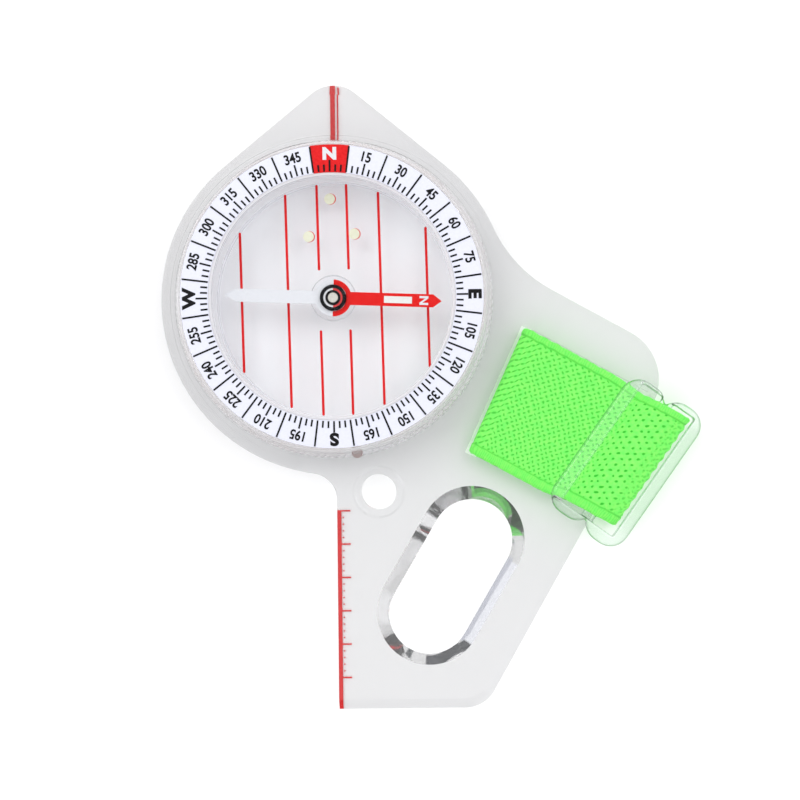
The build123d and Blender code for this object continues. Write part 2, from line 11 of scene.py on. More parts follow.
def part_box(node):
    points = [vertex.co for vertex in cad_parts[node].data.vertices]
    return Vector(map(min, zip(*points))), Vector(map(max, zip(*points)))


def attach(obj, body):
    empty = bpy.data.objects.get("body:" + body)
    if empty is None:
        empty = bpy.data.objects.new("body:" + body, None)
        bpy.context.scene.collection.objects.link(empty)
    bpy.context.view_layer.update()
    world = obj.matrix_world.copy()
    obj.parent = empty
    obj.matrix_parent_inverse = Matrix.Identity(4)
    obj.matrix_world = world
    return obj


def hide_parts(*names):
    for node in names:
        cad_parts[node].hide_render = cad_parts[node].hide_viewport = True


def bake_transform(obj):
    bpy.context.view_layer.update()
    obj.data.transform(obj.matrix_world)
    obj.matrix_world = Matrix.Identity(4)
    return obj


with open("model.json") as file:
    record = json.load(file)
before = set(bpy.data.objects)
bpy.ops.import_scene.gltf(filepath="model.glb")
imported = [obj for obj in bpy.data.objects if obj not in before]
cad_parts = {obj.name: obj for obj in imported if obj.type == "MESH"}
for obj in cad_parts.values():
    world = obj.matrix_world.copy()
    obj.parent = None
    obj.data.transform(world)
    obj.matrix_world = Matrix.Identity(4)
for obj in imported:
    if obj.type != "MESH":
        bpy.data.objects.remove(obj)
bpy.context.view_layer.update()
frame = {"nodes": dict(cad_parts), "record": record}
MM = 0.001

# The view: straight above the plate, a little to the side of the object's middle
VIEW_HEIGHT = 250 * MM  # above the plate's top face
VIEW_OVER = (16.9 * MM, -21.0 * MM)
VIEW_ROLL = -0.6
VIEW_MM_WIDE = 119.047619  # how many millimetres of the plate the picture is wide
VIEW_SHIFT = (-0.0625, 0.05)
SENSOR = 36.0

# Heights and radii; all but the plate's are read from the frame
PLATE_TOP = 3.0 * MM
DIAL_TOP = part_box("dial_ring")[1].z
DIAL_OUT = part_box("dial_ring")[1].x
BEZEL_LOW, BEZEL_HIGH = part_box("capsule_bezel")[0].z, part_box("capsule_bezel")[1].z
BEZEL_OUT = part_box("capsule_bezel")[1].x
BEZEL_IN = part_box("capsule_base")[1].x

# The room's light, and its dark flags and bright cards: azimuth, elevation, inner and outer half angle, and tone
ROOM_LIGHT = 0.93
ROOM_CARDS = (
    (-56, 14, 9, 12, (0.03, 0.035, 0.045)),
    (-72, 16, 10, 13, (0.03, 0.035, 0.045)),
    (-87, 17, 9, 11, (0.06, 0.065, 0.08)),
    (-125, 9, 4, 7, (0.08, 0.09, 0.1)),
    (112, 36, 7, 13, (0.3, 0.18, 0.12)),
    (150, 34, 3, 7, (0.3, 0.28, 0.27)),
    (18, 34, 6, 14, (0.7, 0.7, 0.8)),
    (-41, 43, 10, 15, (0.8, 0.82, 0.93)),
    (-39, 11, 6, 9, (1.2, 1.22, 1.3)),
    (178, 34, 24, 34, (1.25, 1.25, 1.26)),
)

# The lamps' common aim, and each one's name, place, size and power
LAMP_AIM = (0.01, -0.015, 0)
LAMPS = (
    ("key", (-0.25, 0.25, 0.6), (0.35, 0.35), 0.9),
    ("fill", (0.32, 0.16, 0.6), (0.3, 0.4), 0.7),
)

FLOOR_REACH = 3.0
FLOOR_LEVEL = -0.12 * MM

# Colours used more than once
WHITE = (1, 1, 1)
PLATE_TINT = (0.765, 0.766, 0.772)
# the buckle's green is partly its own tint, partly a painted reflection of the green strap inside it
BUCKLE_TINT_AND_STRAP_REFLECTION = (0.88, 0.96, 0.895)
DISC_TINT = (0.97, 0.97, 0.98)

# The usual span of Blender's noise, which is spread over the wanted range
NOISE_LOW, NOISE_HIGH = 0.3, 0.7

# The z of the plate's normals, up or down, where its flat tint ends and where its darker wall tint, a painted shade,
# is reached
FLAT_NORMAL, WALL_NORMAL = 0.86, 0.6

# The bezel's beads
BEADS = 144
BEAD_STEPS = 10
BEAD_DEEP = 0.2 * MM
BEAD_ROUND = 0.6  # less than 1 makes a bead fuller than a cosine

# Dial printing; a style is a height, a share of the font's own width, and a stroke weight
DIAL_ANGLE = 0.4
NUMBER_RADIUS = 20.75 * MM
NORTH_RADIUS = NUMBER_RADIUS - 0.05 * MM
PRINT_THICK = 0.04 * MM
NUMBER_STYLE = (1.5 * MM, 0.84, 0.026)
LETTER_STYLE = (1.95 * MM, 1.12, 0.05)
NORTH_STYLE = (1.85 * MM, 1.15, 0.055)

# Strap, in its own frame: u along it, v across it
STRAP_ANGLE = -28.8
SLOT_NORMAL = -24.7
BUCKLE_ANGLE = -35.5
STRAP_THICK = 1.0 * MM
SLOT_U, BUCKLE_U, BUCKLE_V = 27.9 * MM, 49.4 * MM, -0.9 * MM
STRAP_MIDDLE = -0.35 * MM
STRAP_HALF = 10.15 * MM
STRAP_HALF_IN_BUCKLE = 9.6 * MM
STRAP_NARROWS = (41 * MM, 46 * MM)  # from where to where along u

STRAP_U_DIR = Vector((cos(radians(STRAP_ANGLE)), sin(radians(STRAP_ANGLE)), 0))
STRAP_V_DIR = Vector((-STRAP_U_DIR.y, STRAP_U_DIR.x, 0))
SLOT_SHEAR = tan(radians(STRAP_ANGLE - SLOT_NORMAL))
BUCKLE_SHEAR = tan(radians(STRAP_ANGLE - BUCKLE_ANGLE))

# The strap's mesh
LINE_STEPS = (10, 75, 8, 10, 8, 12, 60)  # points on the runs after each corner
ARC_STEPS = 7
ACROSS_STEPS = 92

# The strap's relief
TOP_RUN = 2.5 * MM  # the loop's points above this are on its upper run
EDGE_ROUND = 0.42 * MM
EDGE_THINNEST = 0.2  # share of the thickness left at the very edge
EDGE_STRAY = 0.12 * MM
SEAMS = (1.25 * MM, 1.6 * MM)  # from the strap's two edges to their stitched grooves
SEAM_DEEP, SEAM_WIDE = 0.14 * MM, 0.28 * MM
SELVEDGE_SWELL = 0.07 * MM
FACE_DROP = 0.06 * MM  # leaves room for the swollen selvedge
FOLD_WAVE = 0.13 * MM

# The knit, in millimetres; holes are a pitch along and across, the rows' lean, a radius and a soft edge
SMALL_HOLES = ((0.97, 1.05), 0.095, 0.16, 0.14)
LARGE_HOLES = ((1.75, 1.1), 0.18, 0.19, 0.12)
SMALL_HOLE_SLANT = 0.5
RIB_PITCH = 0.36
YARN_STRAY = 0.55
WEAVE_MM = 100.0  # millimetres of strap to one unit of the weave map
WEAVE_MIDDLE = 50  # millimetres across the map to the strap's middle

BUCKLE_VOXEL = 0.16 * MM
BUCKLE_SMOOTHING = 14


# ---------------------------------------------------------------- material nodes


def new_material(name, colour, roughness, **sockets):
    """A Principled material; sockets are given by name with underscores for spaces."""
    material = bpy.data.materials.new(name)
    material.use_nodes = True
    shader = material.node_tree.nodes["Principled BSDF"]
    shader.inputs["Base Color"].default_value = (*colour, 1)
    shader.inputs["Roughness"].default_value = roughness
    for key, value in sockets.items():
        shader.inputs[key.replace("_", " ")].default_value = value
    return material


def node(material, kind, **settings):
    """A new node; each setting is a property of it or, with underscores for spaces, one of its sockets."""
    made = material.node_tree.nodes.new(kind)
    for key, value in settings.items():
        if hasattr(made, key):
            setattr(made, key, value)
        else:
            made.inputs[key.replace("_", " ")].default_value = value
    return made


def link(material, source, target):
    material.node_tree.links.new(source, target)


def shader_of(material):
    return material.node_tree.nodes["Principled BSDF"]


def feed(material, source, socket):
    """Links a value to a socket of the material's Principled shader."""
    link(material, source, shader_of(material).inputs[socket])


def maths(material, operation, *values):
    """A Math node's output; each value is a number or a socket."""
    made = node(material, "ShaderNodeMath", operation=operation)
    for i, value in enumerate(values):
        if isinstance(value, (int, float)):
            made.inputs[i].default_value = value
        else:
            link(material, value, made.inputs[i])
    return made.outputs[0]


def split_vector(material, vector):
    split = node(material, "ShaderNodeSeparateXYZ")
    link(material, vector, split.inputs["Vector"])
    return split.outputs


def ramp(material, value, start, end, top=1.0):
    """A smooth step from 0, where the value is at start, to top, where it is at end; start may be the larger."""
    ranged = node(material, "ShaderNodeMapRange", interpolation_type="SMOOTHSTEP")
    ranged.inputs["From Min"].default_value = start
    ranged.inputs["From Max"].default_value = end
    ranged.inputs["To Max"].default_value = top
    link(material, value, ranged.inputs["Value"])
    return ranged.outputs["Result"]


def mix_colours(material, share, low, high):
    """A colour from low, where the share is 0, to high; both are colours or sockets."""
    mix = node(material, "ShaderNodeMix", data_type="RGBA")
    for socket, colour in ((mix.inputs[6], low), (mix.inputs[7], high)):
        if isinstance(colour, tuple):
            socket.default_value = (*colour, 1)
        else:
            link(material, colour, socket)
    link(material, share, mix.inputs[0])
    return mix.outputs[2]


def mix_into_surface(material, share, shader):
    """Mixes a second shader into what the surface is so far; the share is a number or a socket."""
    mix = node(material, "ShaderNodeMixShader")
    if isinstance(share, float):
        mix.inputs[0].default_value = share
    else:
        link(material, share, mix.inputs[0])
    surface = material.node_tree.nodes["Material Output"].inputs["Surface"]
    link(material, surface.links[0].from_socket, mix.inputs[1])
    link(material, shader, mix.inputs[2])
    link(material, mix.outputs[0], surface)


def noise_of(material, per_mm, detail=2.0):
    """Noise in object space, with about per_mm spots in a millimetre."""
    place = node(material, "ShaderNodeTexCoord")
    texture = node(material, "ShaderNodeTexNoise", Scale=per_mm / MM, Detail=detail)
    link(material, place.outputs["Object"], texture.inputs["Vector"])
    return texture.outputs["Fac"]


def spread(material, value, low, high):
    """A noise value turned into one from low to high."""
    ranged = node(material, "ShaderNodeMapRange")
    ranged.inputs["From Min"].default_value = NOISE_LOW
    ranged.inputs["From Max"].default_value = NOISE_HIGH
    ranged.inputs["To Min"].default_value = low
    ranged.inputs["To Max"].default_value = high
    link(material, value, ranged.inputs["Value"])
    return ranged.outputs["Result"]


def vary_roughness(material, per_mm, low, high):
    feed(material, spread(material, noise_of(material, per_mm), low, high), "Roughness")


def vary_colour(material, per_mm, dark, light):
    share = spread(material, noise_of(material, per_mm), 0, 1)
    feed(material, mix_colours(material, share, dark, light), "Base Color")


def bump(material, height, distance, strength=1.0):
    made = node(material, "ShaderNodeBump", Strength=strength, Distance=distance)
    link(material, height, made.inputs["Height"])
    feed(material, made.outputs["Normal"], "Normal")


# ---------------------------------------------------------------- materials


def clear_plastic(name, colour, low, high, ripple, ior=1.49, clear=1.0):
    """Transparent moulded plastic with a faint ripple of the mould and slightly uneven polish."""
    material = new_material(name, colour, low, Transmission_Weight=clear, IOR=ior)
    vary_roughness(material, 0.6, low, high)
    bump(material, noise_of(material, 0.12, 1.0), ripple)
    # lamps and the room light what is inside straight through it
    path = node(material, "ShaderNodeLightPath")
    lit = maths(material, "MAXIMUM", path.outputs["Is Shadow Ray"], path.outputs["Is Diffuse Ray"])
    mix_into_surface(material, lit, node(material, "ShaderNodeBsdfTransparent").outputs[0])
    return material


def deeper_edges(material, face_on, grazing_shade, bend):
    """Paints clear plastic darker where it is seen at a grazing angle, towards its rounded edges: partly the deeper
    tint of a longer path through the plastic, partly painted shade standing in for the dark refraction at those
    edges.
    """
    facing = node(material, "ShaderNodeLayerWeight", Blend=bend).outputs["Facing"]
    feed(material, mix_colours(material, facing, face_on, grazing_shade), "Base Color")


def deeper_walls(material, flat, wall, clear):
    """Walls and steep bevels are less clear than the polished flat faces, and their darker tint is painted shade
    that outlines them.
    """
    normal = split_vector(material, node(material, "ShaderNodeTexCoord").outputs["Normal"])
    share = ramp(material, maths(material, "ABSOLUTE", normal["Z"]), FLAT_NORMAL, WALL_NORMAL)
    feed(material, mix_colours(material, share, flat, wall), "Base Color")
    polished = shader_of(material).inputs["Transmission Weight"].default_value
    dull = maths(material, "MULTIPLY", share, polished - clear)
    feed(material, maths(material, "SUBTRACT", polished, dull), "Transmission Weight")


def let_light_down(material, share):
    """Part of the light passes through the thin part and scatters below it."""
    below = node(material, "ShaderNodeBsdfTranslucent", Color=(0.95, 0.95, 0.97, 1))
    mix_into_surface(material, share, below.outputs[0])


def milky_beyond(material, radius, soft, share):
    """Past a radius from the object's axis the plastic turns milky, as a bonded joint's edge does."""
    place = node(material, "ShaderNodeTexCoord")
    flat = node(material, "ShaderNodeVectorMath", operation="MULTIPLY")
    flat.inputs[1].default_value = (1, 1, 0)
    far = node(material, "ShaderNodeVectorMath", operation="LENGTH")
    link(material, place.outputs["Object"], flat.inputs[0])
    link(material, flat.outputs["Vector"], far.inputs[0])
    white = node(material, "ShaderNodeMixShader")
    for i, kind in enumerate(("ShaderNodeBsdfDiffuse", "ShaderNodeBsdfTranslucent")):
        half = node(material, kind, Color=(0.96, 0.96, 0.98, 1))
        link(material, half.outputs[0], white.inputs[i + 1])
    milky = ramp(material, far.outputs["Value"], radius - soft, radius + soft, share)
    mix_into_surface(material, milky, white.outputs[0])


def printed(name, dark, light, roughness, gloss=0.5):
    """Ink, lacquer or paint, slightly uneven in colour and polish."""
    material = new_material(name, light, roughness, Specular_IOR_Level=gloss)
    vary_colour(material, 2.5, dark, light)
    vary_roughness(material, 3.0, roughness - 0.06, roughness + 0.1)
    return material


def half_and_half(name, left, right):
    """One colour on the south side of the pivot and another on the north side, which points along +X."""
    material = new_material(name, left, 0.35)
    place = split_vector(material, node(material, "ShaderNodeTexCoord").outputs["Object"])
    north = maths(material, "GREATER_THAN", place["X"], 0.0)
    feed(material, mix_colours(material, north, left, right), "Base Color")
    vary_roughness(material, 3.0, 0.3, 0.45)
    return material


def hole_mask(material, along, across, holes, slant=0.0):
    """1 inside the holes of a staggered lattice in millimetres, whose rows lean a little.

    With a slant the holes are drawn out into strokes that lean one way in one row and the other in the next."""
    (pitch_along, pitch_across), lean, radius, soft = holes
    row_pitch = pitch_along / 2
    leaned = maths(material, "SUBTRACT", along, maths(material, "MULTIPLY", across, lean))
    rows = maths(material, "DIVIDE", leaned, row_pitch)
    odd = maths(material, "MODULO", maths(material, "FLOOR", rows), 2.0)
    shift = maths(material, "MULTIPLY", odd, 0.5)
    columns = maths(material, "ADD", maths(material, "DIVIDE", across, pitch_across), shift)

    def from_middle(cells, pitch):
        offset = maths(material, "SUBTRACT", maths(material, "FRACT", cells), 0.5)
        return maths(material, "MULTIPLY", offset, pitch)

    x = from_middle(columns, pitch_across)
    y = from_middle(rows, row_pitch)
    if slant:
        way = maths(material, "MULTIPLY", maths(material, "SUBTRACT", odd, 0.5), 2 * slant)
        x = maths(material, "ADD", x, maths(material, "MULTIPLY", y, way))
        y = maths(material, "MULTIPLY", y, 0.8)
    squares = maths(material, "ADD", maths(material, "MULTIPLY", x, x), maths(material, "MULTIPLY", y, y))
    return ramp(material, maths(material, "SQRT", squares), radius + soft, max(radius - soft, 0.0))


def elastic_material():
    """Knitted elastic: a staggered grid of small holes, wider open where the strap is stretched at the buckle.

    The mesh says at each point how far the holes are open ("open") and where the ribbed selvedge is ("rib")."""
    material = new_material("green_elastic", (0.2, 0.9, 0.14), 0.75, Specular_IOR_Level=0.15)
    shader = shader_of(material)
    shader.inputs["Sheen Weight"].default_value = 0.08
    shader.inputs["Sheen Roughness"].default_value = 0.5
    # painted glow: the emission stands in for the neon yarn's fluorescence and shines the same in light and in shade
    shader.inputs["Emission Color"].default_value = (0.2, 1.0, 0.12, 1)
    shader.inputs["Emission Strength"].default_value = 0.18

    # the place on the strap in millimetres, with the yarn a little astray
    place = split_vector(material, node(material, "ShaderNodeUVMap", uv_map="weave").outputs["UV"])
    wander = noise_of(material, 0.9, 1.0)
    stray = maths(material, "MULTIPLY", maths(material, "SUBTRACT", wander, 0.5), YARN_STRAY)
    along = maths(material, "ADD", maths(material, "MULTIPLY", place["X"], WEAVE_MM), stray)
    across = maths(material, "ADD", maths(material, "MULTIPLY", place["Y"], WEAVE_MM), stray)

    # the knit's holes, painted dark green: the knit's pattern, with painted shade for the depth inside them
    open_share = node(material, "ShaderNodeAttribute", attribute_name="open").outputs["Fac"]
    rib_share = node(material, "ShaderNodeAttribute", attribute_name="rib").outputs["Fac"]
    plain_share = maths(material, "SUBTRACT", 1.0, rib_share)
    small = hole_mask(material, along, across, SMALL_HOLES, slant=SMALL_HOLE_SLANT)
    large = hole_mask(material, along, across, LARGE_HOLES)
    unstretched = maths(material, "SUBTRACT", 1.0, maths(material, "MULTIPLY", open_share, 0.85))
    small_seen = maths(material, "MULTIPLY", maths(material, "MULTIPLY", small, unstretched), 0.82)
    large_seen = maths(material, "MULTIPLY", large, open_share)
    holes = maths(material, "MULTIPLY", maths(material, "MAXIMUM", small_seen, large_seen), plain_share)

    # the selvedge's fine ribs across the strap's edge, and the stitched seam beside it, painted darker: painted
    # shade in the ribs' hollows and in the seam's groove
    wave = maths(material, "SINE", maths(material, "MULTIPLY", along, 2 * pi / RIB_PITCH))
    wave = maths(material, "ADD", maths(material, "MULTIPLY", wave, 0.5), 0.5)
    ribs = maths(material, "MULTIPLY", maths(material, "MULTIPLY", wave, rib_share), 0.34)
    seam = maths(material, "MULTIPLY", maths(material, "MULTIPLY", rib_share, plain_share), 2.3)
    dark = maths(material, "MAXIMUM", maths(material, "MAXIMUM", holes, ribs), seam)

    tone = spread(material, noise_of(material, 1.6, 3.0), 0, 1)
    yarn = mix_colours(material, tone, (0.145, 0.77, 0.116), (0.235, 0.84, 0.136))
    # holes, ribs and seam are darkened: partly the knit's pattern, partly painted shade
    feed(material, mix_colours(material, dark, yarn, (0.0, 0.34, 0.008)), "Base Color")
    fuzz = maths(material, "MULTIPLY", noise_of(material, 7.0, 3.0), 0.35)
    bump(material, maths(material, "SUBTRACT", fuzz, dark), 0.1 * MM, 0.8)
    return material


def make_materials():
    """Every material, under the name that dress_cad_nodes and the pieces ask for."""
    made = {
        # name, tint, least and most roughness, ripple
        "clear_plate": clear_plastic("plate_plastic", PLATE_TINT, 0.03, 0.07, 0.02 * MM, clear=0.975),
        "clear_capsule": clear_plastic("capsule_plastic", (0.975, 0.975, 0.985), 0.05, 0.12, 0.01 * MM),
        "bezel": clear_plastic("bezel_plastic", (0.98, 0.975, 0.98), 0.06, 0.16, 0.01 * MM, clear=0.76),
        "disc": clear_plastic("disc_plastic", DISC_TINT, 0.02, 0.05, 0.003 * MM, ior=1.3),
        "plug": clear_plastic("plug_plastic", (0.42, 0.33, 0.32), 0.2, 0.35, 0.01 * MM, clear=0.3),
        # wetted by the capsule's liquid, so it bends light only a little
        "clear_chamber": clear_plastic("wetted_plastic", (0.955, 0.965, 0.98), 0.0, 0.03, 0.003 * MM, ior=1.08),
        "clear_buckle": clear_plastic("buckle_plastic", BUCKLE_TINT_AND_STRAP_REFLECTION, 0.03, 0.06, 0.01 * MM, clear=0.97),
        "silicone": clear_plastic("friction_silicone", (0.93, 0.93, 0.94), 0.3, 0.45, 0.01 * MM, clear=0.6),
        # name, darkest and lightest tone, roughness, gloss
        "red_ink": printed("red_print", (0.66, 0.01, 0.012), (0.78, 0.018, 0.02), 0.42, 0.1),
        "black_ink": printed("black_print", (0.004, 0.004, 0.005), (0.011, 0.011, 0.013), 0.45, 0.1),
        "white_dial": printed("dial_print", (0.80, 0.815, 0.935), (0.84, 0.855, 0.965), 0.42),
        "luminous_white": printed("luminous_white", (0.76, 0.75, 0.72), (0.82, 0.81, 0.79), 0.7, 0.2),
        "jewel": printed("luminous_jewel", (0.56, 0.54, 0.49), (0.66, 0.64, 0.58), 0.6, 0.3),
        "luminous_paint": printed("luminous_paint", (0.74, 0.74, 0.55), (0.84, 0.84, 0.67), 0.75, 0.2),
        "red_needle": printed("needle_red", (0.7, 0.01, 0.01), (0.76, 0.016, 0.013), 0.3, 0.1),
        "white_needle": printed("needle_white", (0.71, 0.72, 0.75), (0.76, 0.77, 0.8), 0.3, 0.3),
        "black_plastic": printed("hub_black", (0.003, 0.003, 0.004), (0.008, 0.008, 0.009), 0.3, 0.12),
        "steel": new_material("pivot_steel", (0.62, 0.62, 0.64), 0.18, Metallic=1.0),
        "magnet_steel": new_material("magnet_nickel", (0.5, 0.49, 0.47), 0.3, Metallic=1.0),
        "cap_ring": half_and_half("cap_ring", (0.86, 0.86, 0.88), (0.78, 0.03, 0.03)),
        "green_elastic": elastic_material(),
    }
    vary_roughness(made["steel"], 4.0, 0.12, 0.26)
    vary_roughness(made["magnet_steel"], 3.0, 0.24, 0.4)
    # painted reflection: the bezel's mottled brownish tint stands in for the room's warm light mirrored in it
    vary_colour(made["bezel"], 0.12, (0.93, 0.885, 0.88), (0.985, 0.985, 0.995))
    milky_beyond(made["clear_chamber"], 17.5 * MM, 0.1 * MM, 0.8)
    let_light_down(made["white_dial"], 0.07)
    # painted shade: the buckle's and the disc's edges are darkened where they are seen at a grazing angle
    deeper_edges(made["clear_buckle"], BUCKLE_TINT_AND_STRAP_REFLECTION, (0.06, 0.18, 0.09), 0.6)
    deeper_edges(made["disc"], DISC_TINT, (0.01, 0.01, 0.015), 0.5)
    # painted shade: the plate's walls and bevels get a darker tint
    deeper_walls(made["clear_plate"], PLATE_TINT, (0.675, 0.675, 0.682), 0.94)
    return made


# ---------------------------------------------------------------- mesh helpers


def add_piece(name, bm, material, body, replaces=(), smooth=True):
    """A visible piece from a bmesh; it rides on a body unless body is None."""
    mesh = bpy.data.meshes.new(name)
    bm.to_mesh(mesh)
    bm.free()
    for polygon in mesh.polygons:
        polygon.use_smooth = smooth
    piece = bpy.data.objects.new(name, mesh)
    bpy.context.scene.collection.objects.link(piece)
    mesh.materials.append(material)
    if body:
        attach(piece, body)
    if replaces:
        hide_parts(*replaces)
    return piece


def bridge_rings(bm, rings):
    """Faces between neighbouring rings of vertices, and between the last and the first."""
    count = len(rings[0])
    for a, b in zip(rings, rings[1:] + rings[:1]):
        for i in range(count):
            j = (i + 1) % count
            bm.faces.new((a[i], a[j], b[j], b[i]))
    bmesh.ops.recalc_face_normals(bm, faces=bm.faces)


def smooth_step(low, high, x):
    t = min(max((x - low) / (high - low), 0), 1)
    return t * t * (3 - 2 * t)


# ---------------------------------------------------------------- capsule


def make_bezel(materials):
    """The clear grip ring, with fine beads round its foot."""
    out = BEZEL_OUT
    rim = DIAL_OUT
    # radius, height, and how far the beads stand out there
    profile = [
        (BEZEL_IN, BEZEL_LOW, 0),
        (out - 0.5 * MM, BEZEL_LOW, 0),
        (out - 0.28 * MM, BEZEL_LOW + 0.04 * MM, 0.3),
        (out - 0.1 * MM, BEZEL_LOW + 0.16 * MM, 0.9),
        (out, BEZEL_LOW + 0.4 * MM, 1),
        (out, BEZEL_LOW + 0.8 * MM, 1),
        (out - 0.05 * MM, BEZEL_LOW + 1.15 * MM, 1),
        (out - 0.2 * MM, BEZEL_LOW + 1.45 * MM, 0.9),
        (out - 0.42 * MM, BEZEL_LOW + 1.66 * MM, 0.5),
        (out - 0.62 * MM, BEZEL_LOW + 1.74 * MM, 0.1),
        (out - 0.74 * MM, BEZEL_LOW + 1.86 * MM, 0),
        (out - 0.8 * MM, BEZEL_LOW + 2.1 * MM, 0),
        (rim + 0.46 * MM, BEZEL_HIGH - 0.4 * MM, 0),
        (rim + 0.41 * MM, BEZEL_HIGH - 0.16 * MM, 0),
        (rim + 0.3 * MM, BEZEL_HIGH - 0.03 * MM, 0),
        (rim + 0.2 * MM, BEZEL_HIGH, 0),
        (rim + 0.12 * MM, BEZEL_HIGH - 0.02 * MM, 0),
        (rim + 0.05 * MM, BEZEL_HIGH - 0.1 * MM, 0),
        (rim + 0.02 * MM, DIAL_TOP, 0),
        (rim + 0.02 * MM, DIAL_TOP - 0.31 * MM, 0),
        (BEZEL_IN, DIAL_TOP - 0.31 * MM, 0),
    ]
    bm = bmesh.new()
    rings = []
    for i in range(BEADS * BEAD_STEPS):
        turn = 2 * pi * i / (BEADS * BEAD_STEPS)
        dip = BEAD_DEEP * (1 - abs(cos(turn * BEADS / 2)) ** BEAD_ROUND)
        ring = []
        for radius, height, share in profile:
            r = radius - dip * share
            ring.append(bm.verts.new((r * cos(turn), r * sin(turn), height)))
        rings.append(ring)
    bridge_rings(bm, rings)
    add_piece("bezel_grip", bm, materials["bezel"], "capsule", ["capsule_bezel"])


def glyph_mesh(text, weight):
    """A flat mesh of the text in Blender's built-in font."""
    curve = bpy.data.curves.new("glyphs", "FONT")
    curve.body = text
    curve.align_x = "CENTER"
    curve.resolution_u = 6
    curve.offset = weight
    holder = bpy.data.objects.new("glyphs", curve)
    bpy.context.scene.collection.objects.link(holder)
    bpy.context.view_layer.update()
    mesh = bpy.data.meshes.new_from_object(holder.evaluated_get(bpy.context.evaluated_depsgraph_get()))
    bpy.data.objects.remove(holder)
    bpy.data.curves.remove(curve)
    return mesh


def sort_faces(bm):
    """Puts the faces in the order of their vertices, because an extrusion leaves them in a new order each run."""
    bm.verts.index_update()
    count = len(bm.verts)

    def lowest_corners(face):
        first, second, third = sorted(vert.index for vert in face.verts)[:3]
        return (first * count + second) * count + third

    bm.faces.sort(key=lowest_corners)


def printed_text(bm, text, style, place):
    """Adds text to bm in a style, centred, thickened into a thin solid and put at place."""
    high, wide, weight = style
    mesh = glyph_mesh(text, weight)
    xs = [v.co.x for v in mesh.vertices]
    ys = [v.co.y for v in mesh.vertices]
    scale = high / (max(ys) - min(ys))
    centre = Vector(((max(xs) + min(xs)) / 2, (max(ys) + min(ys)) / 2, 0))
    mesh.transform(Matrix.Translation(-centre))
    mesh.transform(Matrix.Diagonal((scale * wide, scale, 1, 1)))
    part = bmesh.new()
    part.from_mesh(mesh)
    bpy.data.meshes.remove(mesh)
    lifted = bmesh.ops.extrude_face_region(part, geom=part.faces[:])
    top = [g for g in lifted["geom"] if isinstance(g, bmesh.types.BMVert)]
    bmesh.ops.translate(part, verts=top, vec=(0, 0, PRINT_THICK))
    bmesh.ops.recalc_face_normals(part, faces=part.faces)
    sort_faces(part)
    part.transform(place)
    made = bpy.data.meshes.new("part")
    part.to_mesh(made)
    part.free()
    bm.from_mesh(made)
    bpy.data.meshes.remove(made)


def on_dial(bearing, radius):
    """Where a label goes that reads from the axis outwards, at a clockwise bearing in degrees."""
    angle = radians(DIAL_ANGLE - bearing)
    return Matrix.Rotation(angle, 4, "Z") @ Matrix.Translation((0, radius, DIAL_TOP))


def make_dial_text(materials):
    letters = {90: "E", 180: "S", 270: "W"}
    numbers, cardinals, north = bmesh.new(), bmesh.new(), bmesh.new()
    printed_text(north, "N", NORTH_STYLE, on_dial(0, NORTH_RADIUS))
    for bearing in range(15, 360, 15):
        place = on_dial(bearing, NUMBER_RADIUS)
        if bearing in letters:
            printed_text(cardinals, letters[bearing], LETTER_STYLE, place)
        else:
            printed_text(numbers, str(bearing), NUMBER_STYLE, place)
    for name, bm, slot in (
        ("dial_numbers", numbers, "black_ink"),
        ("cardinal_letters", cardinals, "black_ink"),
        ("north_letter", north, "white_needle"),
    ):
        add_piece(name, bm, materials[slot], "capsule", smooth=False)


# ---------------------------------------------------------------- strap


def corner_arc(before, corner, after, radius):
    """Points of the arc that rounds a corner between two runs."""
    back = (before - corner).normalized()
    ahead = (after - corner).normalized()
    half = back.angle(ahead) / 2
    centre = corner + (back + ahead).normalized() * (radius / sin(half))
    start = corner + back * radius / tan(half)
    end = corner + ahead * radius / tan(half)
    first = atan2(start.y - centre.y, start.x - centre.x)
    turn = (atan2(end.y - centre.y, end.x - centre.x) - first + pi) % (2 * pi) - pi
    angles = [first + turn * k / ARC_STEPS for k in range(ARC_STEPS + 1)]
    return [centre + Vector((cos(angle), sin(angle))) * radius for angle in angles]


def rounded_path(corners):
    """Points along a closed path of straight runs and corner arcs. corners holds (u, z, radius).

    Every path has the same number of points on the same run, so that neighbouring sections match."""
    spots = [Vector(corner[:2]) for corner in corners]
    nexts = spots[1:] + spots[:1]
    arcs = [corner_arc(spots[i - 1], spots[i], nexts[i], corners[i][2]) for i in range(len(corners))]
    points = []
    for arc, next_arc, steps in zip(arcs, arcs[1:] + arcs[:1], LINE_STEPS):
        points += arc
        points += [arc[-1].lerp(next_arc[0], k / steps) for k in range(1, steps)]
    return points


def strap_corners(v):
    """The corners of the loop's middle line at v, in the slot, over the plate, in the buckle and at the far fold."""
    slot_u = SLOT_U + SLOT_SHEAR * v
    over_u = BUCKLE_U + BUCKLE_SHEAR * (v - BUCKLE_V)
    return [
        (slot_u, 0.7 * MM, 0.9 * MM),
        (slot_u, 3.6 * MM, 0.9 * MM),
        (over_u - 3.9 * MM, 3.6 * MM, 2.0 * MM),
        (over_u - 1.2 * MM, 5.5 * MM, 1.5 * MM),
        (over_u + 1.5 * MM, 5.5 * MM, 1.5 * MM),
        (over_u + 3.8 * MM, 4.7 * MM, 1.2 * MM),
        (over_u + 3.8 * MM, 0.7 * MM, 1.2 * MM),
    ]


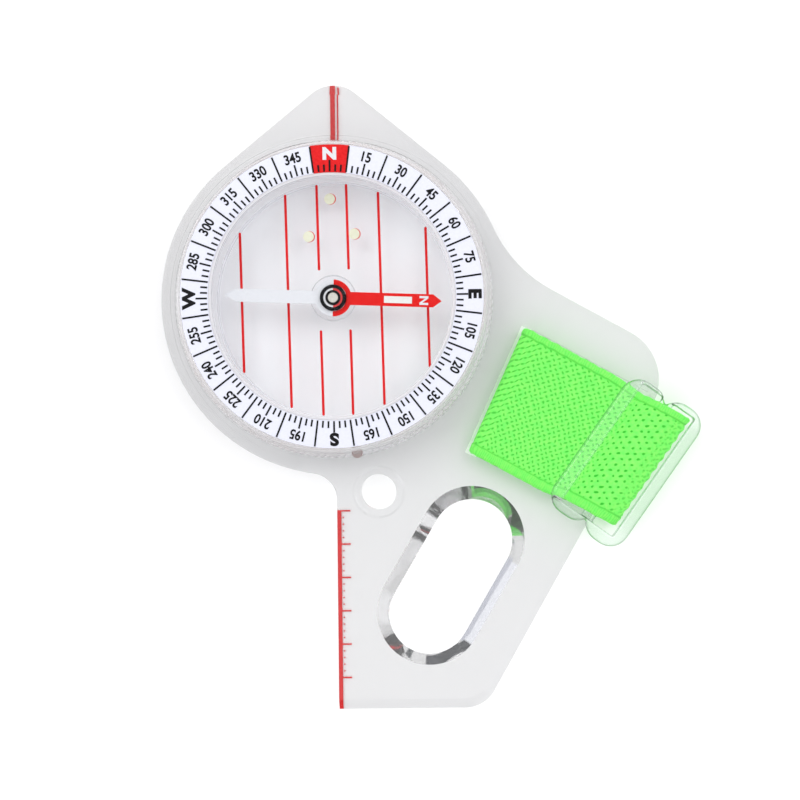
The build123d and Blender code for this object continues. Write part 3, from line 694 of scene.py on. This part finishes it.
def face_lift(from_edge, seam):
    """How far the strap's face stands off its middle: a rounded edge, a swollen selvedge and a groove."""
    crown = 1.0
    if from_edge < EDGE_ROUND:
        arc = max(1 - ((EDGE_ROUND - from_edge) / EDGE_ROUND) ** 2, 0) ** 0.5
        crown = arc * (1 - EDGE_THINNEST) + EDGE_THINNEST
    groove = SEAM_DEEP * max(0, 1 - abs(from_edge - seam) / SEAM_WIDE)
    swell = SELVEDGE_SWELL if from_edge < seam else 0.0
    return STRAP_THICK / 2 * crown - groove + swell * smooth_step(0, 0.6 * MM, from_edge) - FACE_DROP


def edge_stray(along, share):
    """How far the strap's edges wander to the side, the two of them apart."""
    edge = 7.0 if share > 0 else -7.0
    stray = noise.noise((along / (0.9 * MM), edge, 0.0)) * EDGE_STRAY
    return stray * smooth_step(0.55, 1.0, abs(share))


def open_knit(along_buckle):
    """How far the upper run's knit is open: most over the buckle, less towards the far fold."""
    stretched = smooth_step(-4.6 * MM, -3.2 * MM, along_buckle)
    return stretched * (1 - 0.55 * smooth_step(0.8 * MM, 3.6 * MM, along_buckle))


def fold_wave(along_buckle, v):
    """How far the far fold's wavy edge stands out."""
    waves = sin(2 * pi * v / (1.75 * MM)) + 0.5 * noise.noise((v / (1.1 * MM), 3.0, 0.0))
    return smooth_step(2.9 * MM, 4.2 * MM, along_buckle) * FOLD_WAVE * waves


def map_weave(mesh, rows, total):
    """The weave map: each point's place along and across the loop, without a jump where the loop closes."""
    weave = mesh.uv_layers.new(name="weave")
    for loop in mesh.loops:
        along, across = rows[loop.vertex_index][:2]
        weave.data[loop.index].uv = (along / MM / WEAVE_MM, (across / MM + WEAVE_MIDDLE) / WEAVE_MM)
    jump = 0.1  # in the map, longer than any face and shorter than the loop
    for polygon in mesh.polygons:
        corners = [weave.data[k] for k in polygon.loop_indices]
        xs = [corner.uv.x for corner in corners]
        if max(xs) - min(xs) > jump:
            for corner in corners:
                if corner.uv.x < jump:
                    corner.uv.x += total / MM / WEAVE_MM


def make_strap(materials):
    """The elastic loop: rings of points across it, each with an upper and a lower face and rounded edges."""
    middle = rounded_path(strap_corners(STRAP_MIDDLE))
    count = len(middle)
    along = [0.0]
    for a, b in zip(middle, middle[1:]):
        along.append(along[-1] + (b - a).length)
    total = along[-1] + (middle[0] - middle[-1]).length

    # places across the strap, as shares of its half width, and the loop's middle line at each
    lanes = [-1 + 2 * k / ACROSS_STEPS for k in range(ACROSS_STEPS + 1)]
    sections = {share: rounded_path(strap_corners(STRAP_MIDDLE + share * STRAP_HALF)) for share in lanes}

    bm = bmesh.new()
    rings, rows = [], []
    for i in range(count):
        ring = []
        u_mid, z_mid = middle[i]
        on_top = z_mid > TOP_RUN
        half = STRAP_HALF + (STRAP_HALF_IN_BUCKLE - STRAP_HALF) * smooth_step(*STRAP_NARROWS, u_mid)
        for side in (1, -1):
            for share in lanes[::side]:
                points = sections[share]
                here, before, after = points[i], points[i - 1], points[(i + 1) % count]
                run = (after - before).normalized()
                out = Vector((-run.y, run.x))
                across = share * half
                from_edge = (1 - abs(share)) * half
                seam = SEAMS[share < 0]
                place = here + out * face_lift(from_edge, seam) * side
                v = STRAP_MIDDLE + across + edge_stray(along[i], share)
                along_buckle = here.x - BUCKLE_U - BUCKLE_SHEAR * (STRAP_MIDDLE + across - BUCKLE_V)
                if on_top:
                    place.x += fold_wave(along_buckle, v)
                spot = STRAP_U_DIR * place.x + STRAP_V_DIR * v + Vector((0, 0, place.y))
                ring.append(bm.verts.new(spot))
                opened = open_knit(along_buckle) if on_top else 0.0
                ribbed = 1 - smooth_step(seam - 0.35 * MM, seam + 0.05 * MM, from_edge)
                rows.append((along[i], across, opened, ribbed))
        rings.append(ring)
    bridge_rings(bm, rings)
    elastic = materials["green_elastic"]
    piece = add_piece("thumb_strap_elastic", bm, elastic, None, ["thumb_strap"])
    map_weave(piece.data, rows, total)
    for name, column in (("open", 2), ("rib", 3)):
        attribute = piece.data.attributes.new(name, "FLOAT", "POINT")
        attribute.data.foreach_set("value", [row[column] for row in rows])
    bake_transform(piece)


# ---------------------------------------------------------------- buckle


def make_buckle(materials):
    """The slider in rounded, moulded form, from the CAD slider's own shape."""
    mesh = frame["nodes"]["strap_buckle"].data.copy()
    piece = bpy.data.objects.new("slider_buckle", mesh)
    bpy.context.scene.collection.objects.link(piece)
    mesh.materials.clear()
    bm = bmesh.new()
    bm.from_mesh(mesh)
    bmesh.ops.remove_doubles(bm, verts=bm.verts, dist=0.001 * MM)
    bm.to_mesh(mesh)
    bm.free()
    remesh = piece.modifiers.new("remesh", "REMESH")
    remesh.mode = "VOXEL"
    remesh.voxel_size = BUCKLE_VOXEL
    smooth = piece.modifiers.new("smooth", "SMOOTH")
    smooth.factor = 0.5
    smooth.iterations = BUCKLE_SMOOTHING
    bpy.context.view_layer.update()
    final = bpy.data.meshes.new_from_object(piece.evaluated_get(bpy.context.evaluated_depsgraph_get()))
    piece.modifiers.clear()
    piece.data = final
    final.name = "slider_buckle"
    for polygon in final.polygons:
        polygon.use_smooth = True
    final.materials.clear()
    final.materials.append(materials["clear_buckle"])
    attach(piece, "buckle")
    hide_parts("strap_buckle")


# ---------------------------------------------------------------- carried-over nodes


def dress_cad_nodes(materials):
    """Gives each CAD node its slot's material, or its own where the photo shows a finer difference."""
    slots = {row["node"]: row["material_slot"] for row in frame["record"]["subparts"]}
    own = {
        "needle_luminous_patch": "luminous_white",
        "needle_hub_disc": "disc",
        "needle_jewel": "jewel",
        "capsule_lens": "clear_chamber",
        "needle_cap_ring": "cap_ring",
        "filling_plug": "plug",
    }
    for name, obj in frame["nodes"].items():
        obj.data.materials.clear()
        obj.data.materials.append(materials[own.get(name, slots[name])])


# ---------------------------------------------------------------- stage


def make_floor():
    mesh = bpy.data.meshes.new("floor")
    corners = ((-1, -1), (1, -1), (1, 1), (-1, 1))
    points = [(x * FLOOR_REACH, y * FLOOR_REACH, FLOOR_LEVEL) for x, y in corners]
    mesh.from_pydata(points, [], [(0, 1, 2, 3)])
    floor = bpy.data.objects.new("floor", mesh)
    bpy.context.scene.collection.objects.link(floor)
    mesh.materials.append(new_material("floor", (0.96, 0.96, 0.962), 0.9))


def make_world():
    """An even white room with dark flags and bright cards, which the clear edges and walls mirror."""
    world = bpy.data.worlds.new("studio")
    bpy.context.scene.world = world
    world.use_nodes = True
    background = world.node_tree.nodes["Background"]
    background.inputs["Strength"].default_value = ROOM_LIGHT
    direction = node(world, "ShaderNodeTexCoord").outputs["Generated"]
    colour = WHITE
    for azimuth, elevation, inner, outer, tone in ROOM_CARDS:
        a, e = radians(azimuth), radians(elevation)
        near = node(world, "ShaderNodeVectorMath", operation="DOT_PRODUCT")
        near.inputs[1].default_value = (cos(a) * cos(e), sin(a) * cos(e), sin(e))
        link(world, direction, near.inputs[0])
        inside = ramp(world, near.outputs["Value"], cos(radians(outer)), cos(radians(inner)))
        colour = mix_colours(world, inside, colour, tone)
    # the backdrop itself stays plain
    seen = node(world, "ShaderNodeLightPath").outputs["Is Camera Ray"]
    link(world, mix_colours(world, seen, colour, WHITE), background.inputs["Color"])


def make_lamps():
    for name, spot, size, power in LAMPS:
        light = bpy.data.lights.new(name, "AREA")
        light.shape = "RECTANGLE"
        light.size, light.size_y = size
        light.energy = power
        holder = bpy.data.objects.new(name, light)
        bpy.context.scene.collection.objects.link(holder)
        holder.location = spot
        holder.rotation_euler = (Vector(LAMP_AIM) - Vector(spot)).to_track_quat("-Z", "Y").to_euler()


def make_camera():
    camera = bpy.data.cameras.new("camera")
    camera.sensor_width = SENSOR
    camera.lens = SENSOR * VIEW_HEIGHT / (VIEW_MM_WIDE * MM)
    camera.shift_x, camera.shift_y = VIEW_SHIFT
    camera.clip_start = 0.01
    holder = bpy.data.objects.new("camera", camera)
    bpy.context.scene.collection.objects.link(holder)
    holder.location = (*VIEW_OVER, PLATE_TOP + VIEW_HEIGHT)
    holder.rotation_euler = (0, 0, radians(VIEW_ROLL))
    bpy.context.scene.camera = holder
    bpy.context.scene.view_settings.view_transform = "Standard"


make_camera()
all_materials = make_materials()
dress_cad_nodes(all_materials)
make_bezel(all_materials)
make_dial_text(all_materials)
make_strap(all_materials)
make_buckle(all_materials)
make_floor()
make_world()
make_lamps()
